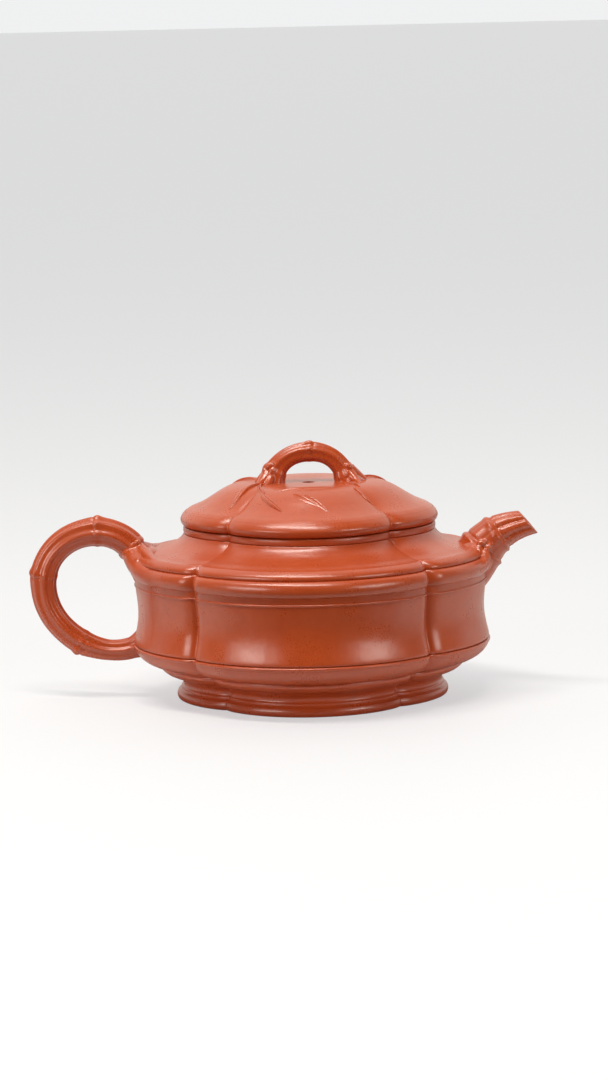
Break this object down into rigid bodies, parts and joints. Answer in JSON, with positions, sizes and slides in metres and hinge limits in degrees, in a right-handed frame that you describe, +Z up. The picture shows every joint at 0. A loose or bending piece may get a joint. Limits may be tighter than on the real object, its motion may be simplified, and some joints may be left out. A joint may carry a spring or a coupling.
{
  "type": "clay teapot",
  "caption": "Unglazed clay teapot with a four-lobed body on a flared foot, a bamboo ring handle and spout, and a lift-off lid with a bamboo bridge and leaves.",
  "frame": {"origin": "middle of the foot's underside, on the table", "axes": "+X out along the spout, +Y to the pot's far side with the spout on the right, +Z up"},
  "size_m": [0.1718, 0.121, 0.0864],
  "materials": {
    "pot_clay": "burnished unglazed orange-red stoneware, satin",
    "spout_clay": "burnished unglazed orange-red stoneware, satin",
    "handle_clay": "burnished unglazed orange-red stoneware, satin",
    "lid_clay": "burnished unglazed orange-red stoneware, satin",
    "bridge_clay": "burnished unglazed orange-red stoneware, satin",
    "leaf_clay": "tooled unglazed orange-red stoneware, satin"
  },
  "bodies": {
    "pot": {"foot_ring": "pot_clay", "base_disc": "pot_clay", "under_bowl": "pot_clay", "step_moulding": "pot_clay", "wall": "pot_clay", "lower_line": "pot_clay", "upper_line": "pot_clay", "lower_bead": "pot_clay", "upper_bead": "pot_clay", "shoulder": "pot_clay", "neck_ring": "pot_clay", "spout": "spout_clay", "spout_twig": "spout_clay", "strainer": "pot_clay", "handle": "handle_clay"},
    "lid": {"lid_top": "lid_clay", "lid_rim": "lid_clay", "lid_flange": "lid_clay", "bridge": "bridge_clay", "leaves_left": "leaf_clay", "leaves_front": "leaf_clay", "leaves_right": "leaf_clay", "leaves_back": "leaf_clay"}
  },
  "joints": [
    {"name": "lid_lift", "type": "slide", "parent": "pot", "child": "lid", "axis": [0, 0, 1], "range_m": [0, 0.08]}
  ]
}
